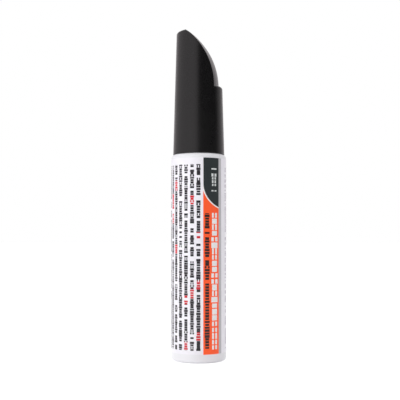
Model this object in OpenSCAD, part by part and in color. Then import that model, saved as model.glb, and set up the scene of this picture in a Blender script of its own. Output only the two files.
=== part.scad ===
// Touch-up paint marker: a white bottle barrel with a wrap-around label, a valve-action
// felt nib in its neck, and a tall pull-off cap with a scooped side.
// The origin is the centre of the base, +Z runs along the marker and the cap's scoop faces +X.

/* [Barrel] */
// Outer diameter of the bare barrel
barrel_d = 17.8; // [15:0.1:24]
// Height from the base to the flat of the shoulder
barrel_h = 66.5; // [60:0.5:100]
// Thickness of the side wall
barrel_wall = 1.1; // [0.8:0.1:1.6]
// Thickness of the floor above the dished base
floor_t = 1.3; // [1:0.1:2.5]
// Thickness of the wall under the shoulder
shoulder_t = 1.2; // [0.9:0.1:2]
// Radius of the rounded edge round the base
base_edge_r = 1.1; // [0.5:0.1:2]
// Radius of the rounded shoulder
shoulder_r = 1.3; // [0.6:0.1:1.8]
// Diameter of the shallow dish in the base
dish_d = 11.2; // [6:0.1:12.5]
// Depth of the dish at its centre
dish_depth = 0.8; // [0.3:0.1:1.2]
// Height of the neck above the shoulder
neck_h = 7.5; // [6:0.1:10]
// Thickness of the neck's wall
neck_wall = 1.45; // [1.1:0.05:1.8]
// Height of the land at the neck's foot that grips the cap
land_h = 2.6; // [1.5:0.1:4]
// How far the snap bead stands out from the neck
bead_out = 0.25; // [0.1:0.05:0.3]
// Height of the snap bead's middle above the shoulder
bead_z = 4.8; // [4:0.1:5.5]

/* [Label] */
// Thickness of the label film
label_t = 0.1; // [0.05:0.01:0.2]
// Height of the label's lower edge above the base
label_z = 2.9; // [2:0.1:8]
// Bare strip left between the label's upper edge and the shoulder's flat
label_clear = 1.7; // [1.4:0.1:6]
// Width of the open seam at the back
seam_w = 0.4; // [0.2:0.1:1]

/* [Cap] */
// Height of the cap from its rim to its flat tip
cap_h = 40.3; // [36:0.1:50]
// How far the cap's rim lies inside the barrel's side
rim_inset = 0.52; // [0.2:0.02:0.8]
// Draft of the cap's side in degrees
cap_draft = 1.58; // [0.8:0.02:2]
// Thickness of the cap's wall
cap_wall = 1; // [0.8:0.02:1.3]
// Radius of the edge round the flat tip
tip_edge_r = 0.7; // [0.3:0.05:1]
// Width of the flat tip that the scoop leaves
tip_w = 4.4; // [3:0.1:6]
// Height of the scoop from the step to the tip
scoop_h = 18.1; // [15:0.1:22]
// Clearance between the inner cap and the wall behind the scoop
scoop_clear = 1; // [0.5:0.05:1.2]
// Radius of the step's outer edge
step_edge_r = 0.8; // [0.3:0.05:1.2]
// How far the raised panel stands proud of the scoop's face
panel_h = 0.43; // [0.2:0.01:0.7]
// Width of the ledge round the raised panel
panel_inset = 0.6; // [0.5:0.05:1.5]

/* [Nib] */
// Diameter of the felt nib
nib_d = 4; // [3:0.1:4.4]
// Length of the nib
nib_len = 15.5; // [14:0.1:17]
// Length of nib that stands out of its holder
nib_out = 4.5; // [3:0.1:5.2]
// How far the nib is pushed in to open the valve
press_travel = 2; // [1:0.1:2.4]

/* [Front section] */
// Thickness of the gasket on the neck's top
gasket_t = 0.6; // [0.4:0.1:1]
// Thickness of the flange on the gasket
flange_t = 1.2; // [0.8:0.1:2]
// Height of the cone above the flange
cone_h = 2.6; // [2:0.1:4]
// Height of the land that seals in the inner cap
seal_h = 1.8; // [1.2:0.1:2.6]
// Height of the tapered tube round the nib
tube_h = 3.8; // [3:0.1:5]
// Thickness of the tube's wall at its mouth
tube_wall = 0.7; // [0.5:0.05:0.8]
// How far the sealing land stands out from the tube's mouth
seal_out = 1.05; // [0.8:0.05:1.3]
// Length of the bore that guides the nib
guide_h = 6; // [5:0.1:7.5]
// Thickness of the skirt that is pressed in the neck
skirt_wall = 1.1; // [0.8:0.05:1.3]
// Length of valve housing that the skirt grips
grip_h = 4.5; // [3.5:0.1:6]
// Chamfer on the outer edges of the flange, the sealing land and the tube's mouth
front_edge = 0.25; // [0.1:0.05:0.3]

/* [Valve] */
// Thickness of the rubber seat
seat_t = 1.2; // [0.8:0.1:1.6]
// Diameter of the hole through the seat
seat_hole_d = 3.4; // [3:0.1:3.7]
// Thickness of the housing's side wall
cage_wall = 0.8; // [0.6:0.05:1]
// Thickness of the housing's floor
cage_floor_t = 1; // [0.7:0.1:1.5]
// Length of the cage below the skirt
cage_drop = 6.6; // [6:0.1:9]
// Number of windows in the cage
window_count = 3; // [2:1:4]
// Height of the windows in the cage
window_h = 3.4; // [2.4:0.1:3.8]
// Width of each window
window_w = 3; // [2:0.1:3.4]
// Diameter of the plunger's stem
stem_d = 2.4; // [1.8:0.1:2.6]
// Thickness of the plunger's sealing head
head_t = 1.6; // [1.2:0.1:2]
// Length of the pin under the head that centres the spring
pin_h = 4; // [3:0.1:4.6]
// Diameter of the spring's wire
wire_d = 0.5; // [0.3:0.05:0.6]
// Number of turns in the spring
spring_turns = 6; // [4:1:8]

/* [Inner cap] */
// Thickness of the inner cap's wall
cup_wall = 0.6; // [0.4:0.05:0.7]
// Free height above the nib's end
cup_top_gap = 0.7; // [0.4:0.1:1]
// Thickness of the inner cap's flange
cup_flange_t = 0.8; // [0.5:0.1:1.2]
// Number of fins on the flange
fin_count = 4; // [3:1:8]
// Height of the fins above the flange
fin_h = 3.2; // [2:0.1:4]
// Thickness of each fin
fin_t = 0.7; // [0.5:0.1:1]

/* [Mixing balls] */
// Diameter of each steel ball
ball_d = 5; // [4:0.1:6]

/* [Fits] */
// Radial clearance where one piece slides in another
slide_gap = 0.05; // [0.02:0.01:0.1]
// Radial clearance of pieces that are pressed together
press_gap = 0.02; // [0.01:0.01:0.04]
// Clearance between pieces that never touch
free_gap = 0.35; // [0.3:0.05:0.45]
// Radial clearance that paint flows through
flow_gap = 0.6; // [0.4:0.05:0.7]
// Radial clearance between the spring and its pin
pin_gap = 0.18; // [0.12:0.02:0.3]

/* [Hidden] */
$fn = 96;
edge_fn = 32;
wire_sides = 10;
turn_steps = 24;
overshoot = 1;
// How far a rounded edge stands out of the slope that it ends, so that the two cross cleanly
edge_bite = 0.01;

// Barrel and cap radii
barrel_r = barrel_d / 2;
bore_r = barrel_r - barrel_wall;
floor_z = dish_depth + floor_t;
dish_r = ((dish_d / 2) ^ 2 + dish_depth ^ 2) / (2 * dish_depth);
rim_r = barrel_r - rim_inset;
rim_z = barrel_h;
tip_z = rim_z + cap_h;
step_z = tip_z - scoop_h;
panel_z = step_z - cap_wall;

function cap_r(z) = rim_r - (z - rim_z) * tan(cap_draft);
function cap_bore_r(z) = cap_r(z) - cap_wall;

// Neck and front section
neck_top = barrel_h + neck_h;
land_r = cap_bore_r(barrel_h + land_h) - slide_gap;
neck_r = cap_bore_r(neck_top) - bead_out - slide_gap;
neck_bore_r = neck_r - neck_wall;
flange_z = neck_top + gasket_t;
cone_z = flange_z + flange_t;
seal_z = cone_z + cone_h;
tube_z = seal_z + seal_h;
nose_z = tube_z + tube_h;
nib_r = nib_d / 2;
nib_tip = nose_z + nib_out;
nib_base = nib_tip - nib_len;
guide_r = nib_r + slide_gap;
mouth_r = guide_r + tube_wall;
seal_r = mouth_r + seal_out;
tube_r = seal_r - free_gap;
passage_r = guide_r + flow_gap;
skirt_r = neck_bore_r - press_gap;
skirt_bore_r = skirt_r - skirt_wall;

// Valve
ceiling_z = nib_base - press_travel - free_gap;
seat_z = ceiling_z - seat_t;
skirt_z = seat_z - grip_h;
cage_r = skirt_bore_r - press_gap;
cage_bore_r = cage_r - cage_wall;
cage_z = skirt_z - cage_drop;
cage_flange_r = skirt_r - free_gap;
spring_z = cage_z + cage_floor_t;
head_r = cage_bore_r - flow_gap;
stem_r = stem_d / 2;
coil_r = head_r - wire_d;
pin_r = coil_r - wire_d / 2 - pin_gap;
head_z = seat_z - head_t;

// Inner cap
cup_bore_r = mouth_r + free_gap;
cup_base_r = tube_r + free_gap;
cup_mouth_r = seal_r + slide_gap;
cup_z = seal_z + free_gap;
cup_flange_z = tube_z;
cup_top = nib_tip + cup_top_gap + cup_wall;
fin_z = cup_flange_z + cup_flange_t;

// Radius of the tapered part of the inner cap's bore at height z
function cup_taper_r(z) = cup_bore_r + (cup_base_r - cup_bore_r) * max(0, nose_z - z) / tube_h;

// The scoop is an arc that leaves the step upright, clear of the inner cap, and reaches the tip
face_x = cup_bore_r + cup_wall + scoop_clear + cap_wall + panel_h;
tip_x = tip_w - cap_r(tip_z);
scoop_run = face_x - tip_x;
scoop_r = (scoop_run ^ 2 + scoop_h ^ 2) / (2 * scoop_run);

// Mixing balls
ball_r = ball_d / 2;
ball_x = ball_r + free_gap / 2;

// Half section of a post with a rounded lower and upper edge
module post_section(r, h, low_edge, top_edge) {
    square([r - max(low_edge, top_edge), h]);
    translate([0, low_edge]) square([r, h - low_edge - top_edge]);
    square([r - low_edge, h / 2]);
    translate([0, h / 2]) square([r - top_edge, h / 2]);
    translate([r - low_edge, low_edge]) circle(low_edge, $fn = edge_fn);
    translate([r - top_edge, h - top_edge]) circle(top_edge, $fn = edge_fn);
}

// Post of revolution with a rounded lower and upper edge
module post(r, h, low_edge, top_edge) {
    rotate_extrude() post_section(r, h, low_edge, top_edge);
}

// Ring between two radii
module ring(outer_r, inner_r, h) {
    difference() {
        cylinder(r = outer_r, h = h);
        translate([0, 0, -overshoot]) cylinder(r = inner_r, h = h + 2 * overshoot);
    }
}

// The cap's tapered body up to height z, with a rounded upper edge
module cap_body(z, edge_r) {
    edge_z = z - edge_r;
    edge_x = cap_r(edge_z) - edge_r / cos(cap_draft) + edge_bite;
    rotate_extrude() {
        polygon([
            [0, rim_z],
            [rim_r, rim_z],
            [edge_x + edge_r * cos(cap_draft), edge_z + edge_r * sin(cap_draft)],
            [edge_x, edge_z],
            [edge_x, z],
            [0, z]
        ]);
        translate([edge_x, edge_z]) circle(edge_r, $fn = edge_fn);
    }
}

// Disc lying across the marker whose rim is the scoop's curve, sunk by a depth
module scoop_disc(sink) {
    translate([face_x - scoop_r, 0, step_z])
        rotate([90, 0, 0])
            cylinder(r = scoop_r - sink, h = 2 * barrel_d, center = true);
}

// Cap without its hollow: the lower body, the scooped blade and its raised panel
module cap_outside() {
    cap_body(step_z, step_edge_r);
    intersection() {
        cap_body(tip_z, tip_edge_r);
        scoop_disc(panel_h);
    }
    intersection() {
        translate([0, 0, panel_z])
            cylinder(
                r1 = cap_r(panel_z) - panel_inset,
                r2 = cap_r(tip_z) - panel_inset,
                h = tip_z - panel_z
            );
        scoop_disc(0);
    }
}

// Hollow of the cap: a tapered core cut back behind the scoop
module cap_hollow() {
    hollow_top = tip_z - cap_wall;
    intersection() {
        translate([0, 0, rim_z - overshoot])
            cylinder(
                r1 = cap_bore_r(rim_z - overshoot),
                r2 = cap_bore_r(hollow_top),
                h = hollow_top - rim_z + overshoot
            );
        union() {
            translate([0, 0, rim_z - 2 * overshoot])
                cylinder(r = barrel_d, h = step_z - cap_wall - rim_z + 2 * overshoot);
            scoop_disc(panel_h + cap_wall);
        }
    }
}

module cap_shell() {
    color("#2b2a2c")
        difference() {
            cap_outside();
            cap_hollow();
        }
}

// Half section of the barrel's outside with its neck, land and snap bead
module barrel_outside_section() {
    post_section(barrel_r, barrel_h, base_edge_r, shoulder_r);
    square([neck_r, neck_top]);
    square([land_r, barrel_h + land_h]);
    translate([neck_r, barrel_h + bead_z]) circle(bead_out, $fn = edge_fn);
}

module barrel() {
    color("#f2f0f3")
        difference() {
            rotate_extrude() barrel_outside_section();
            translate([0, 0, floor_z])
                post(bore_r, barrel_h - shoulder_t - floor_z, base_edge_r, shoulder_r);
            throat_z = barrel_h - 2 * shoulder_t;
            translate([0, 0, throat_z])
                cylinder(r = neck_bore_r, h = neck_top - throat_z + overshoot);
            translate([0, 0, dish_depth - dish_r]) sphere(dish_r);
        }
}

module label() {
    label_h = barrel_h - label_clear - label_z;
    color("#f4f2f5")
        difference() {
            translate([0, 0, label_z]) ring(barrel_r + label_t, barrel_r, label_h);
            translate([-seam_w / 2, 0, label_z - overshoot])
                cube([seam_w, barrel_d, label_h + 2 * overshoot]);
        }
}

module mixing_ball(side) {
    color("#b9bcc2")
        translate([side * ball_x, 0, floor_z + ball_r + press_gap]) sphere(ball_r);
}

module neck_gasket() {
    color("#8a8d91")
        translate([0, 0, neck_top]) ring(neck_r, skirt_r + press_gap, gasket_t);
}

// Half section of the front section's outside, from the skirt to the nose
module front_outside_section() {
    polygon([
        [0, skirt_z],
        [skirt_r, skirt_z],
        [skirt_r, flange_z],
        [neck_r, flange_z],
        [neck_r, cone_z - front_edge],
        [neck_r - front_edge, cone_z],
        [skirt_r, cone_z],
        [seal_r, seal_z],
        [seal_r, tube_z - front_edge],
        [seal_r - front_edge, tube_z],
        [tube_r, tube_z],
        [mouth_r, nose_z - front_edge],
        [mouth_r - front_edge, nose_z],
        [0, nose_z]
    ]);
}

module front_section() {
    color("#e9e8ea")
        difference() {
            rotate_extrude() front_outside_section();
            translate([0, 0, skirt_z - overshoot])
                cylinder(r = skirt_bore_r, h = ceiling_z - skirt_z + overshoot);
            translate([0, 0, ceiling_z - overshoot])
                cylinder(r = passage_r, h = nose_z - guide_h - ceiling_z + overshoot);
            translate([0, 0, ceiling_z])
                cylinder(r = guide_r, h = nose_z - ceiling_z + overshoot);
        }
}

module valve_seat() {
    color("#3a3a3a")
        translate([0, 0, seat_z]) ring(cage_r, seat_hole_d / 2, seat_t);
}

module valve_housing() {
    cage_h = seat_z - cage_z;
    color("#d9dadd")
        difference() {
            union() {
                translate([0, 0, cage_z]) cylinder(r = cage_r, h = cage_h);
                translate([0, 0, skirt_z - cage_floor_t]) cylinder(r = cage_flange_r, h = cage_floor_t);
            }
            translate([0, 0, spring_z]) cylinder(r = cage_bore_r, h = cage_h);
            translate([0, 0, cage_z - overshoot]) cylinder(r = stem_r, h = cage_floor_t + 2 * overshoot);
            for (window = [0:window_count - 1])
                rotate(360 * window / window_count)
                    translate([0, -window_w / 2, spring_z + cage_floor_t])
                        cube([2 * cage_r, window_w, window_h]);
        }
}

// Points of a ring of the spring's wire at a turn angle
function wire_ring(turn, rise) = [
    for (side = [0:wire_sides - 1])
        let (a = 360 * side / wire_sides, out = coil_r + cos(a) * wire_d / 2)
            [out * cos(turn), out * sin(turn), rise + sin(a) * wire_d / 2]
];

module valve_spring() {
    steps = spring_turns * turn_steps;
    low_z = spring_z + wire_d / 2 + press_gap;
    high_z = head_z - wire_d / 2 - press_gap;
    rings = [
        for (step = [0:steps])
            wire_ring(360 * step / turn_steps, low_z + (high_z - low_z) * step / steps)
    ];
    points = [for (ring_points = rings) each ring_points];
    sides = [
        for (step = [0:steps - 1], side = [0:wire_sides - 1])
            let (low = step * wire_sides, high = low + wire_sides, next = (side + 1) % wire_sides)
                [low + side, high + side, high + next, low + next]
    ];
    low_end = [for (side = [0:wire_sides - 1]) side];
    high_end = [for (side = [wire_sides - 1:-1:0]) steps * wire_sides + side];
    color("#c9ccd1") polyhedron(points, concat(sides, [low_end, high_end]), convexity = 8);
}

module valve_plunger() {
    color("#f0efe8")
        rotate_extrude()
            polygon([
                [0, head_z - pin_h],
                [pin_r - free_gap, head_z - pin_h],
                [pin_r, head_z - pin_h + free_gap],
                [pin_r, head_z],
                [head_r, head_z],
                [head_r, seat_z],
                [stem_r, seat_z],
                [stem_r, nib_base],
                [0, nib_base]
            ]);
}

module nib() {
    color("#f3efe2") {
        translate([0, 0, nib_base]) cylinder(r = nib_r, h = nib_len - nib_r);
        translate([0, 0, nib_tip - nib_r]) sphere(nib_r);
    }
}

// Half section of the inner cap: a tapered cup with a wider mouth and a flange
module inner_cap_section() {
    mouth_out = cup_mouth_r + cup_wall;
    flange_out = cap_bore_r(fin_z) - press_gap;
    difference() {
        polygon([
            [0, cup_z],
            [mouth_out, cup_z],
            [mouth_out, cup_flange_z],
            [flange_out, cup_flange_z],
            [flange_out, fin_z],
            [cup_taper_r(fin_z) + cup_wall, fin_z],
            [cup_bore_r + cup_wall, nose_z],
            [cup_bore_r + cup_wall, cup_top - cup_wall],
            [cup_bore_r, cup_top],
            [0, cup_top]
        ]);
        polygon([
            [0, cup_z - overshoot],
            [cup_mouth_r, cup_z - overshoot],
            [cup_mouth_r, cup_flange_z],
            [cup_base_r, cup_flange_z],
            [cup_bore_r, nose_z],
            [cup_bore_r, cup_top - cup_wall],
            [0, cup_top - cup_wall]
        ]);
    }
}

// Outline of one fin, rooted in the cup's wall and reaching the cap's bore
module fin_outline() {
    root = cup_wall / 2;
    low_z = fin_z - cup_flange_t / 2;
    high_z = fin_z + fin_h;
    polygon([
        [cup_taper_r(low_z) + root, low_z],
        [cap_bore_r(fin_z) - 2 * press_gap, low_z],
        [cap_bore_r(high_z) - 2 * press_gap, high_z],
        [cup_taper_r(high_z) + root, high_z]
    ]);
}

module inner_cap() {
    color("#e4e2da") {
        rotate_extrude() inner_cap_section();
        for (fin = [0:fin_count - 1])
            rotate(360 * fin / fin_count)
                rotate([90, 0, 0])
                    linear_extrude(fin_t, center = true) fin_outline();
    }
}

barrel();
label();
mixing_ball(-1);  // mixing_ball_1
mixing_ball(1);  // mixing_ball_2
neck_gasket();
front_section();
valve_seat();
valve_housing();
valve_spring();
valve_plunger();
nib();
inner_cap();
cap_shell();
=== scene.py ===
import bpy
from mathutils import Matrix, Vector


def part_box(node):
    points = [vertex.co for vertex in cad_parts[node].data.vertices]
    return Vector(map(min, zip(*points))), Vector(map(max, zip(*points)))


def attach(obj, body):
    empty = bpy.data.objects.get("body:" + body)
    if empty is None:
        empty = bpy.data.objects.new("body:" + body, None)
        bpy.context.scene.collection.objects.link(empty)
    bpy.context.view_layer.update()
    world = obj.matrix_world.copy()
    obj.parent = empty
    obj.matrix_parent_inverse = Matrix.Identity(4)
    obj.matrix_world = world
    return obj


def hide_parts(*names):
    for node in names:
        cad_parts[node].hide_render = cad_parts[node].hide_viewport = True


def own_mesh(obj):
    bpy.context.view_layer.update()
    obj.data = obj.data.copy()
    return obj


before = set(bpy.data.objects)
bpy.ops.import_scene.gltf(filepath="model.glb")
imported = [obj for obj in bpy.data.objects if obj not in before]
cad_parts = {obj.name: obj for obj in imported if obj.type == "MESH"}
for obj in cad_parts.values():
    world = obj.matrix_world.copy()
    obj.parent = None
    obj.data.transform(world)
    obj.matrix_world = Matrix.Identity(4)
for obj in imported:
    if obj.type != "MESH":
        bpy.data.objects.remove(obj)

"""Looks of a touch-up paint marker: a white bottle barrel with a printed wrap-around label,
a valve-action felt tip in its neck and a tall black pull-off cap with a scooped side.

Lengths in the classes are in millimetres unless a name says otherwise. The marker stands on
the XY plane, +Z runs along it and the cap's scoop faces +X.
"""

import logging
import math
from dataclasses import dataclass
from enum import Enum
from typing import Sequence, Union

import bpy
from mathutils import Vector

log = logging.getLogger("marker")

Colour = tuple[float, float, float, float]
Feed = Union[float, Sequence[float], bpy.types.NodeSocket]
MM = 0.001
EDGE_SAMPLES = 6
NO_GLOW: Colour = (0.0, 0.0, 0.0, 1.0)


def paint(red: int, green: int, blue: int) -> Colour:
    """Turns a colour as seen on a screen into the linear colour that a shader takes.

    Args:
        red: Red from 0 to 255.
        green: Green from 0 to 255.
        blue: Blue from 0 to 255.

    Returns:
        The linear colour with an alpha of 1.
    """
    linear = []
    for part in (red, green, blue):
        share = part / 255
        linear.append(share / 12.92 if share <= 0.04045 else ((share + 0.055) / 1.055) ** 2.4)
    return (linear[0], linear[1], linear[2], 1.0)


@dataclass
class Bench:
    """Places shader nodes in the tree of a material, a world or a group, and joins them."""

    tree: bpy.types.NodeTree

    def put(self, kind: str, **settings: object) -> bpy.types.Node:
        """Adds a node.

        Args:
            kind: The node's type name.
            **settings: Properties of the node and their values.

        Returns:
            The new node.
        """
        node = self.tree.nodes.new(kind)
        for name, value in settings.items():
            setattr(node, name, value)
        return node

    def feed(self, socket: bpy.types.NodeSocket, value: Feed) -> None:
        """Joins a socket to another one, or sets it to a plain value.

        Args:
            socket: The input to fill.
            value: An output socket, or the value itself.
        """
        if isinstance(value, bpy.types.NodeSocket):
            self.tree.links.new(value, socket)
        else:
            socket.default_value = value

    def math(self, operation: str, *values: Feed) -> bpy.types.NodeSocket:
        """Adds a Math node.

        Args:
            operation: The operation's name.
            *values: Its inputs in order.

        Returns:
            The result.
        """
        node = self.put("ShaderNodeMath", operation=operation)
        for socket, value in zip(node.inputs, values):
            self.feed(socket, value)
        return node.outputs[0]

    def product(self, *values: Feed) -> bpy.types.NodeSocket:
        """Multiplies two or more values.

        Args:
            *values: The values.

        Returns:
            Their product.
        """
        result = values[0]
        for value in values[1:]:
            result = self.math("MULTIPLY", result, value)
        return result

    def between(self, value: Feed, low: Feed, high: Feed) -> bpy.types.NodeSocket:
        """Gives 1 where a value lies between two bounds, and 0 elsewhere.

        Args:
            value: The value to test.
            low: The lower bound.
            high: The upper bound.

        Returns:
            The mask.
        """
        above = self.math("GREATER_THAN", value, low)
        below = self.math("LESS_THAN", value, high)
        return self.math("MULTIPLY", above, below)

    def mix_colour(self, share: Feed, first: Feed, second: Feed) -> bpy.types.NodeSocket:
        """Goes from one colour to another.

        Args:
            share: How much of the second colour shows, from 0 to 1.
            first: The first colour.
            second: The second colour.

        Returns:
            The mixed colour.
        """
        node = self.put("ShaderNodeMix", data_type="RGBA")
        self.feed(node.inputs[0], share)
        self.feed(node.inputs[6], first)
        self.feed(node.inputs[7], second)
        return node.outputs[2]

    def use(self, group: bpy.types.NodeTree, **inputs: Feed) -> bpy.types.Node:
        """Adds a group and fills its inputs.

        Args:
            group: The group's node tree.
            **inputs: Input names, with _ for a space, and their values.

        Returns:
            The group node.
        """
        node = self.put("ShaderNodeGroup", node_tree=group)
        for name, value in inputs.items():
            self.feed(node.inputs[name.replace("_", " ").title()], value)
        return node


class SocketKind(Enum):
    """Kinds of socket that the shader groups have."""

    NUMBER = "NodeSocketFloat"
    PLACE = "NodeSocketVector"
    TINT = "NodeSocketColor"


@dataclass
class GroupKit:
    """Shader groups that several materials share, each built once.

    A bar's half width, its half height and a fibre's gloss are each a varying part, then the
    part that all have. Bars and slits are measured in shares of a whole bar, and the stagger
    from row to row in bars.
    """

    grain_detail: int = 3
    flow_scale: float = 90.0
    flow_detail: int = 4
    flow_range: tuple[float, float] = (0.3, 0.7)
    fibre_detail: int = 6
    fibre_roughness: float = 0.65
    fibre_gloss: tuple[float, float] = (0.3, 0.15)
    row_stagger: float = 0.37
    bar_half_width: tuple[float, float] = (0.2, 0.4)
    bar_half_height: tuple[float, float] = (0.1, 0.4)
    tall_from: float = 0.65
    slit_half_height: float = 0.11

    def __post_init__(self) -> None:
        """Builds each group."""
        self.moulded_skin = self._moulded_skin()
        self.drawn_fibres = self._drawn_fibres()
        self.unrolled_wall = self._unrolled_wall()
        self.printed_bars = self._printed_bars()
        self.printed_field = self._printed_field()

    @staticmethod
    def _start(
        name: str, inputs: dict[str, SocketKind], outputs: dict[str, SocketKind]
    ) -> tuple[Bench, dict[str, bpy.types.NodeSocket], bpy.types.Node]:
        """Makes an empty group with its sockets.

        Args:
            name: The group's name.
            inputs: Its input sockets.
            outputs: Its output sockets.

        Returns:
            The bench, the inputs' sockets by name and the output node.
        """
        tree = bpy.data.node_groups.new(name, "ShaderNodeTree")
        for side, sockets in (("INPUT", inputs), ("OUTPUT", outputs)):
            for label, kind in sockets.items():
                tree.interface.new_socket(label, in_out=side, socket_type=kind.value)
        bench = Bench(tree)
        start = bench.put("NodeGroupInput")
        return bench, {label: start.outputs[label] for label in inputs}, bench.put("NodeGroupOutput")

    def _moulded_skin(self) -> bpy.types.NodeTree:
        """Builds the skin of moulded plastic: fine grain over slow changes of tone and gloss.

        Returns:
            The group's node tree.
        """
        bench, given, result = self._start(
            "moulded skin",
            {
                "Place": SocketKind.PLACE,
                "Tint": SocketKind.TINT,
                "Shade": SocketKind.TINT,
                "Grain": SocketKind.NUMBER,
                "Gloss Low": SocketKind.NUMBER,
                "Gloss High": SocketKind.NUMBER,
            },
            {"Tint": SocketKind.TINT, "Roughness": SocketKind.NUMBER, "Height": SocketKind.NUMBER},
        )
        grain = bench.put("ShaderNodeTexNoise")
        bench.feed(grain.inputs["Vector"], given["Place"])
        bench.feed(grain.inputs["Scale"], given["Grain"])
        grain.inputs["Detail"].default_value = self.grain_detail
        flow = bench.put("ShaderNodeTexNoise")
        bench.feed(flow.inputs["Vector"], given["Place"])
        flow.inputs["Scale"].default_value = self.flow_scale
        flow.inputs["Detail"].default_value = self.flow_detail
        bench.feed(result.inputs["Tint"], bench.mix_colour(flow.outputs[0], given["Tint"], given["Shade"]))
        gloss = bench.put("ShaderNodeMapRange")
        bench.feed(gloss.inputs["Value"], flow.outputs[0])
        gloss.inputs["From Min"].default_value, gloss.inputs["From Max"].default_value = self.flow_range
        bench.feed(gloss.inputs["To Min"], given["Gloss Low"])
        bench.feed(gloss.inputs["To Max"], given["Gloss High"])
        bench.feed(result.inputs["Roughness"], gloss.outputs[0])
        bench.feed(result.inputs["Height"], grain.outputs[0])
        return bench.tree

    def _drawn_fibres(self) -> bpy.types.NodeTree:
        """Builds lines that run along +Z, for pressed fibres and for drawn or turned metal.

        Returns:
            The group's node tree.
        """
        bench, given, result = self._start(
            "drawn fibres",
            {
                "Place": SocketKind.PLACE,
                "Tint": SocketKind.TINT,
                "Shade": SocketKind.TINT,
                "Fineness": SocketKind.NUMBER,
                "Stretch": SocketKind.NUMBER,
            },
            {"Tint": SocketKind.TINT, "Height": SocketKind.NUMBER, "Roughness": SocketKind.NUMBER},
        )
        place = bench.put("ShaderNodeSeparateXYZ")
        bench.feed(place.inputs[0], given["Place"])
        drawn = bench.put("ShaderNodeCombineXYZ")
        bench.feed(drawn.inputs[0], place.outputs[0])
        bench.feed(drawn.inputs[1], place.outputs[1])
        bench.feed(drawn.inputs[2], bench.math("DIVIDE", place.outputs[2], given["Stretch"]))
        fibre = bench.put("ShaderNodeTexNoise")
        bench.feed(fibre.inputs["Vector"], drawn.outputs[0])
        bench.feed(fibre.inputs["Scale"], given["Fineness"])
        fibre.inputs["Detail"].default_value = self.fibre_detail
        fibre.inputs["Roughness"].default_value = self.fibre_roughness
        bench.feed(result.inputs["Tint"], bench.mix_colour(fibre.outputs[0], given["Tint"], given["Shade"]))
        bench.feed(result.inputs["Height"], fibre.outputs[0])
        gloss = bench.math("MULTIPLY_ADD", fibre.outputs[0], *self.fibre_gloss)
        bench.feed(result.inputs["Roughness"], gloss)
        return bench.tree

    def _unrolled_wall(self) -> bpy.types.NodeTree:
        """Builds flat coordinates in millimetres for print that is wrapped round a cylinder.

        Returns:
            The group's node tree.
        """
        bench, given, result = self._start(
            "unrolled wall",
            {"Place": SocketKind.PLACE, "Radius": SocketKind.NUMBER},
            {"Around": SocketKind.NUMBER, "Up": SocketKind.NUMBER},
        )
        place = bench.put("ShaderNodeSeparateXYZ")
        bench.feed(place.inputs[0], given["Place"])
        turn = bench.math("ARCTAN2", place.outputs[0], bench.math("MULTIPLY", place.outputs[1], -1))
        bench.feed(result.inputs["Around"], bench.math("MULTIPLY", turn, given["Radius"]))
        bench.feed(result.inputs["Up"], bench.math("DIVIDE", place.outputs[2], MM))
        return bench.tree

    def _printed_bars(self) -> bpy.types.NodeTree:
        """Builds rows of small plain bars in groups, as filler where print would be.

        Returns:
            The group's node tree.
        """
        bench, given, result = self._start(
            "printed bars",
            {
                name: SocketKind.NUMBER
                for name in (
                    "Around", "Up", "First Row", "Row Pitch", "Bar Height", "Bar Pitch",
                    "Bar Width", "Space Share", "Slit Share", "Seed",
                )
            },
            {"Ink": SocketKind.NUMBER},
        )
        shift = bench.math("SUBTRACT", given["Around"], given["First Row"])
        rows = bench.math("DIVIDE", shift, given["Row Pitch"])
        row = bench.math("ROUND", rows)
        aside = bench.math("ABSOLUTE", bench.math("SUBTRACT", rows, row))
        off = bench.math("MULTIPLY", aside, given["Row Pitch"])
        along = bench.math(
            "ADD",
            bench.math("DIVIDE", given["Up"], given["Bar Pitch"]),
            bench.math("MULTIPLY", row, self.row_stagger),
        )
        cell = bench.math("FLOOR", along)
        part = bench.math("ABSOLUTE", bench.math("SUBTRACT", bench.math("SUBTRACT", along, cell), 0.5))
        spot = bench.put("ShaderNodeCombineXYZ")
        bench.feed(spot.inputs[0], cell)
        bench.feed(spot.inputs[1], bench.math("ADD", row, given["Seed"]))
        chance = bench.put("ShaderNodeTexWhiteNoise", noise_dimensions="2D")
        bench.feed(chance.inputs["Vector"], spot.outputs[0])
        draw = bench.put("ShaderNodeSeparateColor")
        bench.feed(draw.inputs[0], chance.outputs["Color"])
        shown = bench.math("GREATER_THAN", draw.outputs[0], given["Space Share"])
        varied = bench.math("MULTIPLY_ADD", draw.outputs[1], *self.bar_half_width)
        width = bench.math("MULTIPLY", given["Bar Width"], varied)
        is_tall = bench.math("GREATER_THAN", draw.outputs[2], self.tall_from)
        tall = bench.math("MULTIPLY_ADD", is_tall, *self.bar_half_height)
        height = bench.math("MULTIPLY", given["Bar Height"], tall)
        is_slit = bench.math("LESS_THAN", chance.outputs["Value"], given["Slit Share"])
        split = bench.math("MULTIPLY", is_slit, self.slit_half_height)
        slit = bench.math("MULTIPLY", given["Bar Height"], split)
        ink = bench.product(
            shown,
            bench.math("LESS_THAN", part, width),
            bench.math("LESS_THAN", off, height),
            bench.math("GREATER_THAN", off, slit),
        )
        bench.feed(result.inputs["Ink"], ink)
        return bench.tree

    def _printed_field(self) -> bpy.types.NodeTree:
        """Builds a plain printed rectangle on the unrolled wall.

        Returns:
            The group's node tree.
        """
        bench, given, result = self._start(
            "printed field",
            {name: SocketKind.NUMBER for name in ("Around", "Up", "Left", "Right", "Low", "High")},
            {"Ink": SocketKind.NUMBER},
        )
        across = bench.between(given["Around"], given["Left"], given["Right"])
        along = bench.between(given["Up"], given["Low"], given["High"])
        bench.feed(result.inputs["Ink"], bench.math("MULTIPLY", across, along))
        return bench.tree


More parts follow.
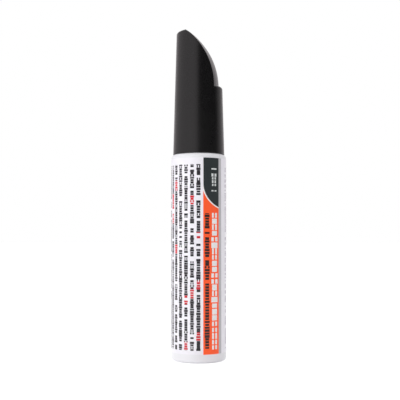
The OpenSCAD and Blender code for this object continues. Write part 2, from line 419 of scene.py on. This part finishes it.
class Grain(Enum):
    """Surface grain that a mould leaves: scale per metre and height in millimetres."""

    POLISHED = (1500.0, 0.002)
    SATIN = (4200.0, 0.006)
    SPARK = (6000.0, 0.012)
    FOAM = (3200.0, 0.060)


def new_material(name: str) -> tuple[bpy.types.Material, Bench, bpy.types.Node, bpy.types.NodeSocket]:
    """Makes a material that holds only its surface shader and Object coordinates.

    Args:
        name: The material's name.

    Returns:
        The material, its bench, the Principled node and the Object coordinates.
    """
    material = bpy.data.materials.new(name)
    material.use_nodes = True
    bench = Bench(material.node_tree)
    surface = bench.tree.nodes["Principled BSDF"]
    place = bench.put("ShaderNodeTexCoord").outputs["Object"]
    return material, bench, surface, place


def pick(*pieces: bpy.types.Object) -> None:
    """Selects only the given pieces, the last of them as the active one.

    Args:
        *pieces: The pieces, or none to deselect everything.
    """
    bpy.ops.object.select_all(action="DESELECT")
    for piece in pieces:
        piece.select_set(True)
        bpy.context.view_layer.objects.active = piece


def finish_mesh(merge: float, crease: float, ends: bool = False, outward: bool = True) -> None:
    """Merges the active piece's doubled points, mends it and smooths it.

    Args:
        merge: Distance within which points are merged, in metres.
        crease: Angle from which an edge stays sharp, in degrees.
        ends: Whether its open ends are closed.
        outward: Whether its faces are turned outwards.
    """
    bpy.ops.object.mode_set(mode="EDIT")
    bpy.ops.mesh.select_all(action="SELECT")
    bpy.ops.mesh.remove_doubles(threshold=merge)
    if ends:
        bpy.ops.mesh.select_all(action="DESELECT")
        bpy.ops.mesh.select_mode(type="EDGE")
        bpy.ops.mesh.select_non_manifold()
        bpy.ops.mesh.fill_holes(sides=0)
        bpy.ops.mesh.select_all(action="SELECT")
    if outward:
        bpy.ops.mesh.normals_make_consistent(inside=False)
    bpy.ops.object.mode_set(mode="OBJECT")
    bpy.ops.object.shade_smooth_by_angle(angle=math.radians(crease))


def relief(bench: Bench, height: Feed, depth: float, edge: float) -> bpy.types.NodeSocket:
    """Turns a height into a surface normal over softened edges.

    Args:
        bench: The material's bench.
        height: The height from 0 to 1.
        depth: What a height of 1 stands for, in millimetres.
        edge: Radius of the softened edges, in millimetres, or 0 for none.

    Returns:
        The normal.
    """
    bump = bench.put("ShaderNodeBump")
    bump.inputs["Strength"].default_value = 1.0
    bump.inputs["Distance"].default_value = depth * MM
    bench.feed(bump.inputs["Height"], height)
    if edge > 0:
        soft = bench.put("ShaderNodeBevel", samples=EDGE_SAMPLES)
        soft.inputs["Radius"].default_value = edge * MM
        bench.feed(bump.inputs["Normal"], soft.outputs[0])
    return bump.outputs[0]


@dataclass(frozen=True)
class Moulding:
    """Finish of a moulded plastic or rubber piece.

    The gloss is the lowest and highest roughness, and the edge is the radius in millimetres that
    light sees on its sharp edges.
    """

    name: str
    tint: Colour
    shade: Colour
    grain: Grain
    gloss: tuple[float, float]
    edge: float = 0.12

    def material(self, kit: GroupKit) -> bpy.types.Material:
        """Builds the material.

        Args:
            kit: The shared shader groups.

        Returns:
            The material.
        """
        material, bench, surface, place = new_material(self.name)
        per_metre, depth = self.grain.value
        skin = bench.use(
            kit.moulded_skin,
            place=place,
            tint=self.tint,
            shade=self.shade,
            grain=per_metre,
            gloss_low=self.gloss[0],
            gloss_high=self.gloss[1],
        )
        bench.feed(surface.inputs["Base Color"], skin.outputs["Tint"])
        bench.feed(surface.inputs["Roughness"], skin.outputs["Roughness"])
        bench.feed(surface.inputs["Normal"], relief(bench, skin.outputs["Height"], depth, self.edge))
        return material


@dataclass(frozen=True)
class Fibrous:
    """Finish with lines along the marker: pressed felt, or drawn steel.

    The fineness is per metre, the stretch is how many times longer than wide a line is, and the
    depth is in millimetres.
    """

    name: str
    tint: Colour
    shade: Colour
    fineness: float
    stretch: float
    depth: float
    metal: bool = False
    felt_roughness: float = 0.95
    felt_sheen: float = 0.25

    def material(self, kit: GroupKit) -> bpy.types.Material:
        """Builds the material.

        Args:
            kit: The shared shader groups.

        Returns:
            The material.
        """
        material, bench, surface, place = new_material(self.name)
        lines = bench.use(
            kit.drawn_fibres,
            place=place,
            tint=self.tint,
            shade=self.shade,
            fineness=self.fineness,
            stretch=self.stretch,
        )
        bench.feed(surface.inputs["Base Color"], lines.outputs["Tint"])
        bench.feed(surface.inputs["Normal"], relief(bench, lines.outputs["Height"], self.depth, 0))
        if self.metal:
            surface.inputs["Metallic"].default_value = 1.0
            bench.feed(surface.inputs["Roughness"], lines.outputs["Roughness"])
        else:
            surface.inputs["Roughness"].default_value = self.felt_roughness
            surface.inputs["Sheen Weight"].default_value = self.felt_sheen
        return material


def dress(node: str, material: bpy.types.Material) -> None:
    """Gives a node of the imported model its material.

    Args:
        node: The node's name.
        material: The material.
    """
    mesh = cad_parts[node].data
    mesh.materials.clear()
    mesh.materials.append(material)
    log.info("dressed %s in %s", node, material.name)


@dataclass(frozen=True)
class Area:
    """A rectangle on the unrolled label, in millimetres round and up the barrel."""

    left: float
    right: float
    low: float
    high: float


@dataclass(frozen=True)
class BarRows:
    """Rows of small bars as filler print: the first row's place, the pitches and a bar's height.

    Those are in millimetres. A bar's width is a share of its pitch, the next two are the share of
    places left blank and of bars with a slit along them, and the seed picks the pattern. A row
    that stands alone has the next one far off the label.
    """

    first_row: float
    row_pitch: float
    bar_height: float
    bar_pitch: float
    bar_width: float
    space_share: float
    slit_share: float
    seed: float


@dataclass(frozen=True)
class Ink:
    """A printing ink and its glow, which is painted light: a steady emission that stands in for the
    brightening that fluorescent ink shows in daylight.
    """

    tint: Colour
    # Painted light: a steady emission that the ink gives off of its own.
    glow: Colour = NO_GLOW


@dataclass
class Press:
    """Makes the masks that the print needs from the place round and up the barrel."""

    bench: Bench
    kit: GroupKit
    around: bpy.types.NodeSocket
    up: bpy.types.NodeSocket

    def field(self, area: Area) -> bpy.types.NodeSocket:
        """Gives the mask of a plain printed rectangle.

        Args:
            area: The rectangle.

        Returns:
            The mask.
        """
        field = self.bench.use(self.kit.printed_field, around=self.around, up=self.up, **vars(area))
        return field.outputs["Ink"]

    def bars(self, rows: BarRows, area: Area) -> bpy.types.NodeSocket:
        """Gives the mask of rows of small bars within a rectangle.

        Args:
            rows: The rows.
            area: The rectangle that they are kept to.

        Returns:
            The mask.
        """
        bars = self.bench.use(self.kit.printed_bars, around=self.around, up=self.up, **vars(rows))
        return self.bench.product(bars.outputs["Ink"], self.field(area))

    def within(self, centre: tuple[float, float], radius: float) -> bpy.types.NodeSocket:
        """Gives the mask of a round end with straight sides that run on up from its middle.

        Args:
            centre: Middle of the round end, round and up the barrel.
            radius: Its radius.

        Returns:
            The mask.
        """
        bench = self.bench
        aside = bench.math("SUBTRACT", self.around, centre[0])
        below = bench.math("SUBTRACT", bench.math("MINIMUM", self.up, centre[1]), centre[1])
        squares = bench.math("ADD", bench.math("POWER", aside, 2.0), bench.math("POWER", below, 2.0))
        return bench.math("LESS_THAN", bench.math("SQRT", squares), radius)


@dataclass
class PrintedLabel:
    """The wrap-around label and its print, in millimetres round and up the barrel.

    Distances round the barrel are zero at the front and grow towards the scoop's side. The red
    runs are a row's number, counted to the left, and the run's middle and length.
    """

    radius: float = 9.0
    print_low: float = 4.1
    print_high: float = 62.7
    whole_height: tuple[float, float] = (0, 100)
    panel_right: float = 1.83
    band_left: float = 2.70
    band_right: float = 8.29
    stripe_right: float = 9.53
    seam: float = 28.0
    fine_rows: BarRows = BarRows(1.19, 2.06, 1.32, 0.74, 0.88, 0.08, 0.25, 3.0)
    bold_row: BarRows = BarRows(1.19, 2.06, 1.4, 0.8, 0.92, 0.1, 0.15, 8.0)
    far_rows: BarRows = BarRows(12.5, 2.06, 0.8, 0.55, 0.8, 0.3, 0.2, 21.0)
    black_row: BarRows = BarRows(3.975, 1000, 1.62, 0.9, 0.86, 0.06, 0.1, 5.0)
    white_row: BarRows = BarRows(6.585, 1000, 2.35, 1.9, 0.86, 0.05, 0.4, 12.0)
    pale_row: BarRows = BarRows(6.4, 1000, 1.9, 1.05, 0.8, 0.1, 0.5, 17.0)
    black_area: Area = Area(3.0, 4.98, 4.7, 47.2)
    white_area: Area = Area(5.28, 7.89, 4.4, 47.5)
    pale_area: Area = Area(5.3, 7.5, 54.1, 61.5)
    swatch_centre: tuple[float, float] = (10.673, 56.72)
    swatch_radius: float = 8.116
    swatch_line: float = 0.4
    film_tint: Colour = paint(245, 243, 247)
    film_shade: Colour = paint(238, 235, 242)
    film_gloss: tuple[float, float] = (0.32, 0.42)
    # Painted light: the white film gives off a little light of its own, brightening it whatever the lamps
    # do.
    film_glow: Colour = (0.045, 0.045, 0.055, 1.0)
    text_tint: Colour = paint(24, 19, 27)
    red_tint: Colour = paint(208, 30, 44)
    far_ink: Ink = Ink(paint(150, 138, 158))
    # Painted glow: the orange band shines a little of its own, standing in for fluorescent ink's
    # brightening in daylight.
    orange_ink: Ink = Ink(paint(243, 88, 34), (0.20, 0.012, 0.0, 1.0))
    black_ink: Ink = Ink(paint(26, 8, 8))
    white_ink: Ink = Ink(paint(250, 248, 248))
    line_ink: Ink = Ink(paint(246, 241, 239))
    swatch_ink: Ink = Ink(paint(33, 41, 43))
    pale_ink: Ink = Ink(paint(222, 226, 226))
    # Painted shade: the grey stripe beside the orange band stands in for the shade along the label's end
    # edge.
    stripe_ink: Ink = Ink(paint(196, 194, 198))
    red_runs: tuple[tuple[int, float, float], ...] = (
        (0, 39.7, 3.0), (0, 24.6, 2.8), (0, 8.6, 2.6), (1, 51.4, 3.0), (1, 21.9, 3.0),
        (2, 19.9, 2.8), (2, 5.5, 2.6), (4, 56.1, 3.2), (4, 35.8, 3.0), (5, 48.8, 9.5),
        (7, 43.0, 3.0), (8, 15.0, 3.0), (9, 54.0, 4.5), (11, 29.0, 3.0), (12, 47.0, 3.0),
    )

    def material(self, kit: GroupKit) -> bpy.types.Material:
        """Builds the printed film.

        Args:
            kit: The shared shader groups.

        Returns:
            The material.
        """
        material, bench, surface, place = new_material("printed film")
        per_metre, depth = Grain.POLISHED.value
        film = bench.use(
            kit.moulded_skin,
            place=place,
            tint=self.film_tint,
            shade=self.film_shade,
            grain=per_metre,
            gloss_low=self.film_gloss[0],
            gloss_high=self.film_gloss[1],
        )
        wall = bench.use(kit.unrolled_wall, place=place, radius=self.radius)
        press = Press(bench, kit, wall.outputs["Around"], wall.outputs["Up"])
        colour: Feed = film.outputs["Tint"]
        # The film's and the inks' glow is painted light: it feeds Emission, so they shine of their own
        # under any lamp.
        glow: Feed = self.film_glow
        for mask, tint, ink_painted_glow in self._layers(press):
            colour = bench.mix_colour(mask, colour, tint)
            glow = bench.mix_colour(mask, glow, ink_painted_glow)
        bench.feed(surface.inputs["Base Color"], colour)
        bench.feed(surface.inputs["Emission Color"], glow)
        surface.inputs["Emission Strength"].default_value = 1.0
        bench.feed(surface.inputs["Roughness"], film.outputs["Roughness"])
        bench.feed(surface.inputs["Normal"], relief(bench, film.outputs["Height"], depth, 0))
        return material

    def _red_runs(self, press: Press) -> bpy.types.NodeSocket:
        """Gives the mask of the short runs that are printed in red.

        Args:
            press: The press of this material.

        Returns:
            The mask.
        """
        red: Feed = 0.0
        first, pitch = self.fine_rows.first_row, self.fine_rows.row_pitch
        for row, middle, length in self.red_runs:
            across = first - row * pitch
            run = Area(across - pitch / 2, across + pitch / 2, middle - length / 2, middle + length / 2)
            red = press.bench.math("MAXIMUM", red, press.field(run))
        return red

    def _layers(self, press: Press) -> list[tuple[bpy.types.NodeSocket, Feed, Colour]]:
        """Lists the layers of ink from the first printed to the last.

        Args:
            press: The press of this material.

        Returns:
            The mask, colour and glow of each.
        """
        bench = press.bench
        low, high = self.print_low, self.print_high
        split = self.fine_rows.first_row - self.fine_rows.row_pitch / 2
        text = bench.mix_colour(self._red_runs(press), self.text_tint, self.red_tint)
        layers = [
            (press.bars(self.fine_rows, Area(-self.seam, split, low, high)), text, NO_GLOW),
            (press.bars(self.bold_row, Area(split, self.panel_right, low, high)), text, NO_GLOW),
        ]
        far_area = Area(self.far_rows.first_row - 1, self.seam, low, high)
        stripe_area = Area(self.band_right, self.stripe_right, *self.whole_height)
        band = press.field(Area(self.band_left, self.band_right, *self.whole_height))
        half_line = self.swatch_line / 2
        outer = press.within(self.swatch_centre, self.swatch_radius + half_line)
        inner = press.within(self.swatch_centre, self.swatch_radius - half_line)
        for mask, ink in (
            (press.bars(self.far_rows, far_area), self.far_ink),
            (band, self.orange_ink),
            (press.bars(self.black_row, self.black_area), self.black_ink),
            (press.bars(self.white_row, self.white_area), self.white_ink),
            (bench.product(band, outer), self.line_ink),
            (bench.product(band, inner), self.swatch_ink),
            (press.bars(self.pale_row, self.pale_area), self.pale_ink),
            # the grey stripe is painted shade of the label's end edge
            (press.field(stripe_area), self.stripe_ink),
        ):
            layers.append((mask, ink.tint, ink.glow))
        return layers

    def build(self, kit: GroupKit) -> None:
        """Dresses the label.

        Args:
            kit: The shared shader groups.
        """
        dress("label", self.material(kit))


@dataclass
class Bottle:
    """The barrel with its neck, the foam gasket and the steel mixing balls."""

    wall: Moulding = Moulding(
        "barrel plastic", paint(243, 242, 245), paint(237, 236, 241), Grain.SATIN, gloss=(0.30, 0.38)
    )
    gasket: Moulding = Moulding(
        "gasket foam", paint(146, 149, 153), paint(128, 131, 136), Grain.FOAM,
        gloss=(0.85, 0.95), edge=0,
    )
    balls: Fibrous = Fibrous(
        "ball steel", paint(205, 207, 211), paint(182, 185, 190),
        fineness=900, stretch=1, depth=0.001, metal=True,
    )

    def build(self, kit: GroupKit) -> None:
        """Dresses the pieces.

        Args:
            kit: The shared shader groups.
        """
        dress("barrel", self.wall.material(kit))
        dress("neck_gasket", self.gasket.material(kit))
        steel = self.balls.material(kit)
        for node in ("mixing_ball_1", "mixing_ball_2"):
            dress(node, steel)


@dataclass
class WritingTip:
    """The front section that is pressed in the neck, with its felt nib."""

    holder: Moulding = Moulding(
        "holder plastic", paint(236, 236, 240), paint(228, 228, 233), Grain.SATIN,
        gloss=(0.34, 0.44), edge=0.1,
    )
    felt: Fibrous = Fibrous(
        "nib felt", paint(240, 235, 221), paint(214, 205, 184), fineness=5200, stretch=9, depth=0.05
    )

    def build(self, kit: GroupKit) -> None:
        """Dresses the pieces.

        Args:
            kit: The shared shader groups.
        """
        dress("front_section", self.holder.material(kit))
        dress("nib", self.felt.material(kit))


@dataclass
class Valve:
    """The valve inside the barrel: seat, housing, plunger and coil spring."""

    wire: float = 0.5
    turns: int = 6
    steps_per_turn: int = 40
    wire_sides: int = 14
    dead_turns: float = 1.0
    dead_pitch: float = 1.02
    travel: float = 2.0
    foot_z: float = 59.35
    head_z: float = 67.85
    seat: Moulding = Moulding(
        "seat rubber", paint(52, 52, 54), paint(44, 44, 46), Grain.SATIN, gloss=(0.6, 0.75), edge=0.05
    )
    housing: Moulding = Moulding(
        "housing plastic", paint(217, 218, 223), paint(206, 208, 214), Grain.POLISHED, gloss=(0.3, 0.4)
    )
    plunger: Moulding = Moulding(
        "plunger plastic", paint(240, 238, 229), paint(230, 227, 216), Grain.POLISHED,
        gloss=(0.3, 0.4), edge=0.08,
    )
    steel: Fibrous = Fibrous(
        "spring steel", paint(200, 203, 208), paint(160, 163, 170),
        fineness=2600, stretch=1, depth=0.002, metal=True,
    )

    def coil(self) -> bpy.types.Object:
        """Models the spring as one wire with closed end turns.

        Returns:
            The spring.
        """
        low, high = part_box("valve_spring")
        wire = self.wire * MM / 2
        foot, head = low.z + wire, high.z - wire
        pick()
        bpy.ops.mesh.primitive_circle_add(
            vertices=self.wire_sides,
            radius=wire,
            location=(high.x - wire, 0, 0),
            rotation=(math.pi / 2, 0, 0),
        )
        spring = bpy.context.object
        spring.name = "valve_spring_coil"
        bpy.ops.object.transform_apply(location=True, rotation=True, scale=True)
        screw = spring.modifiers.new("wind", "SCREW")
        screw.axis = "Z"
        screw.steps = screw.render_steps = self.steps_per_turn
        screw.iterations = self.turns
        screw.screw_offset = (head - foot) / self.turns
        screw.use_normal_calculate = True
        bpy.ops.object.modifier_apply(modifier=screw.name)
        self._close_ends(spring, foot, head)
        finish_mesh(merge=1e-7, crease=40, ends=True)
        return spring

    def _close_ends(self, spring: bpy.types.Object, foot: float, head: float) -> None:
        """Lifts the wound wire in place and lays its first and last turns against the next.

        Args:
            spring: The wound wire, evenly pitched from z = 0.
            foot: Middle of the wire at its lower end, in metres.
            head: Middle of the wire at its upper end, in metres.
        """
        pitch = (head - foot) / self.turns
        wire = self.wire * MM
        closed = self.dead_turns * pitch
        span = self.turns * pitch
        shut = self.dead_turns * wire * self.dead_pitch
        open_scale = (span - 2 * shut) / (span - 2 * closed)
        for vertex in spring.data.vertices:
            around = math.atan2(vertex.co.y, vertex.co.x) % (2 * math.pi) / (2 * math.pi)
            turn = round(vertex.co.z / pitch - around) + around
            middle = min(max(turn * pitch, 0.0), span)
            if middle < closed:
                raised = middle * shut / closed
            elif middle > span - closed:
                raised = span - (span - middle) * shut / closed
            else:
                raised = shut + (middle - closed) * open_scale
            vertex.co.z += raised - middle + foot

    def build(self, kit: GroupKit) -> None:
        """Dresses the valve's nodes and puts the wound spring in place of its plain solid.

        Args:
            kit: The shared shader groups.
        """
        dress("valve_seat", self.seat.material(kit))
        dress("valve_housing", self.housing.material(kit))
        dress("valve_plunger", self.plunger.material(kit))
        spring = self.coil()
        spring.data.materials.append(self.steel.material(kit))
        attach(spring, "marker")
        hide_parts("valve_spring")
        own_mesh(spring)
        log.info("wound %s with %d turns", spring.name, self.turns)


@dataclass
class Cap:
    """The black cap and the soft inner cap that seals on the front section.

    The scoop is an arc in the XZ plane. Its raised panel is sunk to just above the ledge round
    it, and a crowned face lies over both, edge to edge.
    """

    rim_radius: float = 8.38
    rim_z: float = 66.5
    tip_z: float = 106.8
    draft: float = math.radians(1.58)
    tip_edge: float = 0.7
    arc_x: float = -16.57
    arc_z: float = 88.7
    arc_radius: float = 22.7
    panel_height: float = 0.43
    sunk_height: float = 0.03
    near: float = 0.02
    crown_height: float = 0.78
    crown_tip_height: float = 0.62
    crown_full_z: float = 98.5
    crown_foot_z: float = 88.4
    crown_bed: float = 0.3
    crown_edge: float = 0.25
    crown_drop: float = 0.002
    crown_cells: tuple[int, int] = (40, 70)
    shell: Moulding = Moulding(
        "cap plastic", paint(8, 7, 8), paint(12, 11, 12), Grain.SPARK, gloss=(0.25, 0.31), edge=0.2
    )
    liner: Moulding = Moulding(
        "inner cap plastic", paint(228, 226, 218), paint(219, 216, 207), Grain.SATIN,
        gloss=(0.4, 0.5), edge=0.08,
    )

    def _outer_radius(self, z: float) -> float:
        """Gives the radius of the cap's outside, with its rounded tip edge.

        Args:
            z: Height.

        Returns:
            The radius.
        """
        above = min(max(z - self.tip_z + self.tip_edge, 0), self.tip_edge)
        rounding = self.tip_edge - math.sqrt(self.tip_edge**2 - above**2)
        return self.rim_radius - (z - self.rim_z) * math.tan(self.draft) - rounding

    def _scoop_x(self, z: float, sink: float) -> float:
        """Gives where the scoop's arc lies at a height.

        Args:
            z: Height.
            sink: How far the arc is sunk below the raised panel's face.

        Returns:
            The place along X.
        """
        return self.arc_x + math.sqrt((self.arc_radius - sink) ** 2 - (z - self.arc_z) ** 2)

    def blade(self) -> bpy.types.Object:
        """Copies the shell and sinks its raised panel, for the crowned face to lie over it.

        Returns:
            The shell.
        """
        shell = bpy.data.objects.new("cap_shell_blade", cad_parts["cap_shell"].data.copy())
        bpy.context.scene.collection.objects.link(shell)
        sunk = self.panel_height - self.sunk_height
        for vertex in shell.data.vertices:
            x, z = vertex.co.x / MM, vertex.co.z / MM
            reach = math.hypot(x - self.arc_x, z - self.arc_z)
            on_panel = self.arc_radius - sunk < reach < self.arc_radius + self.near
            if z > self.arc_z - self.near / 2 and on_panel:
                vertex.co.x = self._scoop_x(z, sunk) * MM
        pick(shell)
        bpy.ops.mesh.customdata_custom_splitnormals_clear()
        finish_mesh(merge=1e-6, crease=30, outward=False)
        return shell

    def crown(self) -> bpy.types.Object:
        """Models the scoop's crowned face as a closed lens that runs out to nothing at its sides.

        It starts as a grid from -1 to 1 both ways with a back at -1, and is laid over the arc.

        Returns:
            The face.
        """
        pick()
        across_cells, up_cells = self.crown_cells
        bpy.ops.mesh.primitive_grid_add(x_subdivisions=across_cells, y_subdivisions=up_cells, size=2)
        crown = bpy.context.object
        crown.name = "cap_scoop_crown"
        back = crown.modifiers.new("back", "SOLIDIFY")
        back.thickness = 1
        back.offset = -1
        bpy.ops.object.modifier_apply(modifier=back.name)
        top = self.tip_z - self.crown_drop
        for vertex in crown.data.vertices:
            across = math.sin(vertex.co.x * math.pi / 2)
            share = math.sin((vertex.co.y + 1) * math.pi / 4)
            z = self.crown_foot_z + (top - self.crown_foot_z) * share
            edge_x = self._scoop_x(z, self.panel_height)
            half_width = math.sqrt(self._outer_radius(z) ** 2 - edge_x**2)
            fade = min(max((self.tip_z - z) / (self.tip_z - self.crown_full_z), 0), 1)
            height = self.crown_tip_height + (self.crown_height - self.crown_tip_height) * fade
            above = max(z - self.tip_z + self.crown_edge, 0)
            height -= self.crown_edge - math.sqrt(self.crown_edge**2 - above**2)
            is_back = vertex.co.z < -0.5
            if is_back:
                height = -self.crown_bed
            slope = (edge_x - self.arc_x) / (self.arc_radius - self.panel_height)
            raised = height * (1 - across**2) / slope
            vertex.co = Vector((edge_x + raised, half_width * across, z)) * MM
        finish_mesh(merge=1e-7, crease=40)
        return crown

    def build(self, kit: GroupKit) -> None:
        """Dresses the inner cap, and puts the crowned shell in place of the plain one.

        Args:
            kit: The shared shader groups.
        """
        dress("inner_cap", self.liner.material(kit))
        shell, crown = self.blade(), self.crown()
        pick(crown, shell)
        bpy.ops.object.join()
        shell.data.materials.clear()
        shell.data.materials.append(self.shell.material(kit))
        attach(shell, "cap")
        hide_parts("cap_shell")
        log.info("shaped %s", shell.name)


@dataclass
class Studio:
    """Camera, lights, pale floor and white backdrop. Lengths here are in metres.

    What gloss reflects is given by angle from the camera's side, in degrees, and by level. The
    room is pale all round but for a dark side to the camera's right, and white overhead.
    """

    turn: float = math.radians(8)
    distance: float = 0.25
    shift_right: float = 0.00041
    eye_height: float = 0.03983
    tilt: float = math.radians(2.73)
    lens: float = 68.86
    sensor: float = 36.0
    clip: tuple[float, float] = (0.005, 20.0)
    ambient: float = 0.5
    key_turn: float = math.radians(-52)
    lamp_size: tuple[float, float] = (0.5, 0.8)
    lamp_distance: float = 0.5
    lamp_height: float = 0.06
    lamp_aim: float = 0.055
    key_power: float = 3.0
    fill_turn: float = math.radians(78)
    fill_power: float = 1.1
    reflected: tuple[tuple[float, float], ...] = (
        (-180, 1.0), (-150, 0.9), (-130, 0.7), (-95, 0.82), (-27, 0.95), (-10, 0.85), (3, 0.03),
        (90, 0.02), (104, 0.42), (130, 0.68), (156, 0.95),
    )
    reflected_tint: tuple[float, float, float] = (1.0, 0.945, 0.965)
    overhead: tuple[float, float] = (0.4, 0.7)
    floor_size: float = 8.0
    floor_cuts: int = 3
    floor_glow: float = 0.6
    floor_tint: Colour = paint(240, 240, 241)
    floor_roughness: float = 0.7

    def _around(self, turn: float, distance: float, height: float) -> Vector:
        """Gives a place round the marker.

        Args:
            turn: Angle from the camera's side, growing to its right, in radians.
            distance: Distance from the marker's axis.
            height: Height above the floor.

        Returns:
            The place.
        """
        angle = self.turn + turn
        return Vector((math.sin(angle) * distance, -math.cos(angle) * distance, height))

    def camera(self) -> None:
        """Makes the camera at the photograph's viewing angle."""
        data = bpy.data.cameras.new("camera")
        data.lens = self.lens
        data.sensor_width = self.sensor
        data.clip_start, data.clip_end = self.clip
        camera = bpy.data.objects.new("camera", data)
        right = Vector((math.cos(self.turn), math.sin(self.turn), 0)) * self.shift_right
        camera.location = self._around(0, self.distance, self.eye_height) + right
        camera.rotation_euler = (math.pi / 2 + self.tilt, 0, self.turn)
        bpy.context.scene.collection.objects.link(camera)
        bpy.context.scene.camera = camera

    def softbox(self, name: str, turn: float, power: float) -> None:
        """Makes a soft rectangular lamp that faces the marker.

        Args:
            name: The lamp's name.
            turn: Angle from the camera's side, growing to its right.
            power: Power in watts.
        """
        data = bpy.data.lights.new(name, "AREA")
        data.shape = "RECTANGLE"
        data.size, data.size_y = self.lamp_size
        data.energy = power
        lamp = bpy.data.objects.new(name, data)
        lamp.location = self._around(turn, self.lamp_distance, self.lamp_height)
        aim = Vector((0, 0, self.lamp_aim)) - lamp.location
        lamp.rotation_euler = aim.to_track_quat("-Z", "Y").to_euler()
        lamp.visible_camera = False
        lamp.visible_glossy = False
        bpy.context.scene.collection.objects.link(lamp)

    def world(self) -> None:
        """Makes the room: a white backdrop, even light, and the bright sides that gloss reflects."""
        world = bpy.data.worlds.new("room")
        world.use_nodes = True
        bpy.context.scene.world = world
        bench = Bench(world.node_tree)
        background = bench.tree.nodes["Background"]
        direction = bench.put("ShaderNodeTexCoord").outputs["Generated"]
        along = []
        for axis in (
            (math.cos(self.turn), math.sin(self.turn), 0),
            (math.sin(self.turn), -math.cos(self.turn), 0),
        ):
            share = bench.put("ShaderNodeVectorMath", operation="DOT_PRODUCT")
            bench.feed(share.inputs[0], direction)
            share.inputs[1].default_value = axis
            along.append(share.outputs["Value"])
        turn = bench.math("ARCTAN2", along[0], along[1])
        ramp = bench.put("ShaderNodeValToRGB")
        bench.feed(ramp.inputs[0], bench.math("MULTIPLY_ADD", turn, 0.5 / math.pi, 0.5))
        elements = ramp.color_ramp.elements
        while len(elements) < len(self.reflected):
            elements.new(0.5)
        for element, (degrees, level) in zip(elements, self.reflected):
            element.position = degrees / 360 + 0.5
            element.color = (*(level * part for part in self.reflected_tint), 1)
        place = bench.put("ShaderNodeSeparateXYZ")
        bench.feed(place.inputs[0], direction)
        above = bench.put("ShaderNodeMapRange")
        bench.feed(above.inputs["Value"], place.outputs[2])
        above.inputs["From Min"].default_value, above.inputs["From Max"].default_value = self.overhead
        mirrored = bench.mix_colour(above.outputs[0], ramp.outputs[0], (1, 1, 1, 1))
        rays = bench.put("ShaderNodeLightPath")
        shown = bench.math("MAXIMUM", rays.outputs["Is Camera Ray"], rays.outputs["Is Transmission Ray"])
        level = bench.mix_colour(rays.outputs["Is Glossy Ray"], (self.ambient,) * 3 + (1,), mirrored)
        bench.feed(background.inputs["Color"], bench.mix_colour(shown, level, (1, 1, 1, 1)))
        background.inputs["Strength"].default_value = 1.0

    def floor(self) -> None:
        """Lays the pale floor, which shows white to the camera and keeps the marker's shadow."""
        pick()
        bpy.ops.mesh.primitive_plane_add(size=self.floor_size, location=(0, 0, 0))
        floor = bpy.context.object
        floor.name = "studio_floor"
        bpy.ops.object.mode_set(mode="EDIT")
        bpy.ops.mesh.subdivide(number_cuts=self.floor_cuts)
        bpy.ops.object.mode_set(mode="OBJECT")
        material, bench, surface, _ = new_material("pale floor")
        surface.inputs["Base Color"].default_value = self.floor_tint
        surface.inputs["Roughness"].default_value = self.floor_roughness
        rays = bench.put("ShaderNodeLightPath")
        seen = bench.math("MAXIMUM", rays.outputs["Is Camera Ray"], rays.outputs["Is Transmission Ray"])
        seen = bench.math("MAXIMUM", seen, rays.outputs["Is Glossy Ray"])
        glow = bench.put("ShaderNodeEmission")
        bench.feed(glow.inputs["Strength"], bench.math("MULTIPLY", seen, self.floor_glow))
        both = bench.put("ShaderNodeAddShader")
        bench.feed(both.inputs[0], surface.outputs[0])
        bench.feed(both.inputs[1], glow.outputs[0])
        bench.feed(bench.tree.nodes["Material Output"].inputs["Surface"], both.outputs[0])
        floor.data.materials.append(material)

    def build(self) -> None:
        """Sets up the whole studio."""
        bpy.context.scene.view_settings.view_transform = "Standard"
        self.camera()
        self.softbox("key softbox", self.key_turn, self.key_power)
        self.softbox("fill softbox", self.fill_turn, self.fill_power)
        self.world()
        self.floor()
        log.info("studio is ready")


def main() -> None:
    """Builds the scene: studio, then each sub-assembly from the base up."""
    logging.basicConfig(level=logging.INFO, format="%(message)s")
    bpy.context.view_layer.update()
    Studio().build()
    kit = GroupKit()
    Bottle().build(kit)
    PrintedLabel().build(kit)
    WritingTip().build(kit)
    Valve().build(kit)
    Cap().build(kit)


if __name__ == "__main__":
    main()
